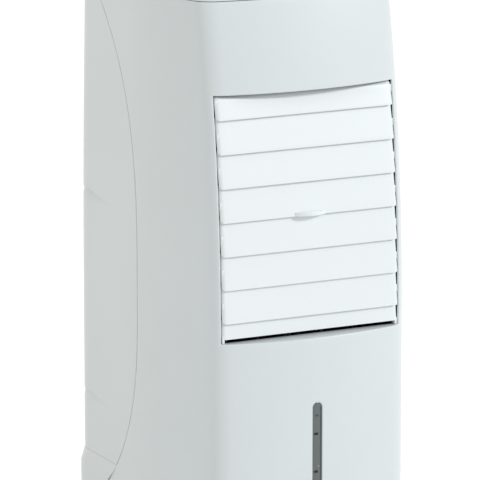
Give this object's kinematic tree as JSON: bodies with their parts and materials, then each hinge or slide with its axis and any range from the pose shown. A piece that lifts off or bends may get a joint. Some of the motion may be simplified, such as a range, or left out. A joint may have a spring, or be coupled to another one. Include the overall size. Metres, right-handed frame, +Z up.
{
  "type": "evaporative cooler",
  "caption": "Tall tower evaporative cooler: curved white cabinet with tilting louvre slats, water gauge, sloping control face, rear filter grilles and castors.",
  "frame": {"origin": "floor level under the middle of the object's bounding box", "axes": "+X to the right seen from the front, +Y towards the rear, +Z up"},
  "size_m": [0.303, 0.356, 0.812],
  "materials": {
    "white_abs": "satin gloss moulded ABS",
    "slat_abs": "satin gloss moulded ABS",
    "grille_abs": "satin moulded ABS",
    "pale_pp": "matt moulded polypropylene",
    "charcoal_pp": "matt moulded polypropylene",
    "panel_grey": "satin moulded ABS",
    "smoked_acrylic": "polished smoked acrylic",
    "circuit_board": "coated glass fibre laminate",
    "tank_pp": "translucent polypropylene",
    "motor_steel": "zinc-plated steel",
    "pump_abs": "moulded ABS",
    "silicone_hose": "clear silicone",
    "cellulose_pad": "corrugated cellulose honeycomb",
    "rubber_black": "matt",
    "fan_pp": "moulded polypropylene",
    "filter_mesh": "woven nylon mesh",
    "button_silver": "satin silver-coated ABS",
    "castor_nylon": "moulded nylon",
    "castor_tread": "hard polyurethane tread"
  },
  "bodies": {
    "cabinet": {"base": "white_abs", "base_skirt": "white_abs", "base_heel": "white_abs", "front_shell": "white_abs", "rear_shell": "white_abs", "top_cover": "white_abs", "control_panel": "panel_grey", "display_window": "smoked_acrylic", "control_board": "circuit_board", "water_tank": "tank_pp", "gauge_window": "smoked_acrylic", "sight_tube": "tank_pp", "louvre_frame": "charcoal_pp", "blower_housing": "pale_pp", "fan_motor": "motor_steel", "swing_motor": "motor_steel", "pump": "pump_abs", "water_hose": "silicone_hose", "water_tray": "pale_pp", "cooling_pad": "cellulose_pad", "pad_frame": "pale_pp", "cord_gland": "rubber_black", "cabinet_screws": "motor_steel"},
    "slat_1": {"slat_1": "slat_abs"},
    "slat_2": {"slat_2": "slat_abs"},
    "slat_3": {"slat_3": "slat_abs"},
    "slat_4": {"slat_4": "slat_abs"},
    "slat_5": {"slat_5": "slat_abs"},
    "slat_6": {"slat_6": "slat_abs"},
    "slat_7": {"slat_7": "slat_abs"},
    "slat_8": {"slat_8": "slat_abs"},
    "slat_link": {"slat_link": "pale_pp"},
    "vane_1": {"vane_1": "pale_pp"},
    "vane_2": {"vane_2": "pale_pp"},
    "vane_3": {"vane_3": "pale_pp"},
    "vane_4": {"vane_4": "pale_pp"},
    "vane_5": {"vane_5": "pale_pp"},
    "vane_link": {"vane_link": "pale_pp"},
    "fan": {"fan_wheel": "fan_pp", "fan_shaft": "motor_steel"},
    "pump_impeller": {"pump_impeller": "pale_pp"},
    "upper_rear_panel": {"upper_grille": "grille_abs", "upper_filter": "filter_mesh"},
    "lower_rear_panel": {"lower_grille": "grille_abs", "lower_filter": "filter_mesh"},
    "button_1": {"button_1": "button_silver"},
    "button_2": {"button_2": "button_silver"},
    "button_3": {"button_3": "button_silver"},
    "button_4": {"button_4": "button_silver"},
    "button_5": {"button_5": "button_silver"},
    "drain_plug": {"drain_plug": "pale_pp"},
    "filler_lid": {"filler_lid": "white_abs"},
    "castor_fork_1": {"castor_fork_1": "castor_nylon"},
    "castor_wheel_1": {"castor_wheel_1": "castor_tread"},
    "castor_fork_2": {"castor_fork_2": "castor_nylon"},
    "castor_wheel_2": {"castor_wheel_2": "castor_tread"},
    "castor_fork_3": {"castor_fork_3": "castor_nylon"},
    "castor_wheel_3": {"castor_wheel_3": "castor_tread"},
    "castor_fork_4": {"castor_fork_4": "castor_nylon"},
    "castor_wheel_4": {"castor_wheel_4": "castor_tread"}
  },
  "joints": [
    {"name": "slat_1_turn", "type": "hinge", "parent": "cabinet", "child": "slat_1", "pos_m": [0, -0.12891, 0.61257], "axis": [-1, 0, 0], "range_deg": [0, 60]},
    {"name": "slat_2_turn", "type": "hinge", "parent": "cabinet", "child": "slat_2", "pos_m": [0, -0.13392, 0.5743], "axis": [-1, 0, 0], "range_deg": [0, 60]},
    {"name": "slat_3_turn", "type": "hinge", "parent": "cabinet", "child": "slat_3", "pos_m": [0, -0.13813, 0.53602], "axis": [-1, 0, 0], "range_deg": [0, 60]},
    {"name": "slat_4_turn", "type": "hinge", "parent": "cabinet", "child": "slat_4", "pos_m": [0, -0.14156, 0.49773], "axis": [-1, 0, 0], "range_deg": [0, 60]},
    {"name": "slat_5_turn", "type": "hinge", "parent": "cabinet", "child": "slat_5", "pos_m": [0, -0.14421, 0.45943], "axis": [-1, 0, 0], "range_deg": [0, 60]},
    {"name": "slat_6_turn", "type": "hinge", "parent": "cabinet", "child": "slat_6", "pos_m": [0, -0.14608, 0.42112], "axis": [-1, 0, 0], "range_deg": [0, 60]},
    {"name": "slat_7_turn", "type": "hinge", "parent": "cabinet", "child": "slat_7", "pos_m": [0, -0.14717, 0.3828], "axis": [-1, 0, 0], "range_deg": [0, 60]},
    {"name": "slat_8_turn", "type": "hinge", "parent": "cabinet", "child": "slat_8", "pos_m": [0, -0.14737, 0.34425], "axis": [-1, 0, 0], "range_deg": [0, 60]},
    {"name": "slat_link_turn", "type": "hinge", "parent": "slat_4", "child": "slat_link", "pos_m": [0.1053, -0.11731, 0.51173], "axis": [-1, 0, 0], "range_deg": [-60, 0]},
    {"name": "vane_1_turn", "type": "hinge", "parent": "cabinet", "child": "vane_1", "pos_m": [-0.0815, -0.094, 0.48], "axis": [0, 0, 1], "range_deg": [-30, 30]},
    {"name": "vane_2_turn", "type": "hinge", "parent": "cabinet", "child": "vane_2", "pos_m": [-0.04075, -0.094, 0.48], "axis": [0, 0, 1], "range_deg": [-30, 30]},
    {"name": "vane_3_turn", "type": "hinge", "parent": "cabinet", "child": "vane_3", "pos_m": [0, -0.094, 0.48], "axis": [0, 0, 1], "range_deg": [-30, 30]},
    {"name": "vane_4_turn", "type": "hinge", "parent": "cabinet", "child": "vane_4", "pos_m": [0.04075, -0.094, 0.48], "axis": [0, 0, 1], "range_deg": [-30, 30]},
    {"name": "vane_5_turn", "type": "hinge", "parent": "cabinet", "child": "vane_5", "pos_m": [0.0815, -0.094, 0.48], "axis": [0, 0, 1], "range_deg": [-30, 30]},
    {"name": "vane_link_turn", "type": "hinge", "parent": "vane_3", "child": "vane_link", "pos_m": [0, -0.084, 0.34], "axis": [0, 0, 1], "range_deg": [-30, 30]},
    {"name": "fan_spin", "type": "hinge", "parent": "cabinet", "child": "fan", "pos_m": [0, 0.00592, 0.455], "axis": [1, 0, 0], "continuous": true},
    {"name": "impeller_spin", "type": "hinge", "parent": "cabinet", "child": "pump_impeller", "pos_m": [-0.092, 0.07783, 0.075], "axis": [0, 0, 1], "continuous": true},
    {"name": "upper_panel_off", "type": "slide", "parent": "cabinet", "child": "upper_rear_panel", "axis": [0, 1, 0], "range_m": [0, 0.04]},
    {"name": "lower_panel_off", "type": "slide", "parent": "cabinet", "child": "lower_rear_panel", "axis": [0, 1, 0], "range_m": [0, 0.04]},
    {"name": "button_1_press", "type": "slide", "parent": "cabinet", "child": "button_1", "axis": [0, 0.515, -0.8572], "range_m": [0, 0.0012], "stiffness_N_per_m": 400, "springref_m": -0.0006},
    {"name": "button_2_press", "type": "slide", "parent": "cabinet", "child": "button_2", "axis": [0, 0.515, -0.8572], "range_m": [0, 0.0012], "stiffness_N_per_m": 400, "springref_m": -0.0006},
    {"name": "button_3_press", "type": "slide", "parent": "cabinet", "child": "button_3", "axis": [0, 0.515, -0.8572], "range_m": [0, 0.0012], "stiffness_N_per_m": 400, "springref_m": -0.0006},
    {"name": "button_4_press", "type": "slide", "parent": "cabinet", "child": "button_4", "axis": [0, 0.515, -0.8572], "range_m": [0, 0.0012], "stiffness_N_per_m": 400, "springref_m": -0.0006},
    {"name": "button_5_press", "type": "slide", "parent": "cabinet", "child": "button_5", "axis": [0, 0.515, -0.8572], "range_m": [0, 0.0012], "stiffness_N_per_m": 400, "springref_m": -0.0006},
    {"name": "drain_plug_pull", "type": "slide", "parent": "cabinet", "child": "drain_plug", "axis": [0, 1, 0], "range_m": [0, 0.03]},
    {"name": "filler_lid_lift", "type": "hinge", "parent": "cabinet", "child": "filler_lid", "pos_m": [0, 0.144, 0.8088], "axis": [-1, 0, 0], "range_deg": [0, 95]},
    {"name": "castor_1_swivel", "type": "hinge", "parent": "cabinet", "child": "castor_fork_1", "pos_m": [-0.1, -0.104, 0.045], "axis": [0, 0, 1], "continuous": true},
    {"name": "castor_1_roll", "type": "hinge", "parent": "castor_fork_1", "child": "castor_wheel_1", "pos_m": [-0.1, -0.093, 0.017], "axis": [1, 0, 0], "continuous": true},
    {"name": "castor_2_swivel", "type": "hinge", "parent": "cabinet", "child": "castor_fork_2", "pos_m": [0.1, -0.104, 0.045], "axis": [0, 0, 1], "continuous": true},
    {"name": "castor_2_roll", "type": "hinge", "parent": "castor_fork_2", "child": "castor_wheel_2", "pos_m": [0.1, -0.093, 0.017], "axis": [1, 0, 0], "continuous": true},
    {"name": "castor_3_swivel", "type": "hinge", "parent": "cabinet", "child": "castor_fork_3", "pos_m": [-0.1, 0.128, 0.045], "axis": [0, 0, 1], "continuous": true},
    {"name": "castor_3_roll", "type": "hinge", "parent": "castor_fork_3", "child": "castor_wheel_3", "pos_m": [-0.1, 0.139, 0.017], "axis": [1, 0, 0], "continuous": true},
    {"name": "castor_4_swivel", "type": "hinge", "parent": "cabinet", "child": "castor_fork_4", "pos_m": [0.1, 0.128, 0.045], "axis": [0, 0, 1], "continuous": true},
    {"name": "castor_4_roll", "type": "hinge", "parent": "castor_fork_4", "child": "castor_wheel_4", "pos_m": [0.1, 0.139, 0.017], "axis": [1, 0, 0], "continuous": true}
  ],
  "couplings": [
    {"joint": "slat_1_turn", "follows": "slat_4_turn", "ratio": 1},
    {"joint": "slat_2_turn", "follows": "slat_4_turn", "ratio": 1},
    {"joint": "slat_3_turn", "follows": "slat_4_turn", "ratio": 1},
    {"joint": "slat_5_turn", "follows": "slat_4_turn", "ratio": 1},
    {"joint": "slat_6_turn", "follows": "slat_4_turn", "ratio": 1},
    {"joint": "slat_7_turn", "follows": "slat_4_turn", "ratio": 1},
    {"joint": "slat_8_turn", "follows": "slat_4_turn", "ratio": 1},
    {"joint": "slat_link_turn", "follows": "slat_4_turn", "ratio": -1},
    {"joint": "vane_1_turn", "follows": "vane_3_turn", "ratio": 1},
    {"joint": "vane_2_turn", "follows": "vane_3_turn", "ratio": 1},
    {"joint": "vane_4_turn", "follows": "vane_3_turn", "ratio": 1},
    {"joint": "vane_5_turn", "follows": "vane_3_turn", "ratio": 1},
    {"joint": "vane_link_turn", "follows": "vane_3_turn", "ratio": -1}
  ]
}
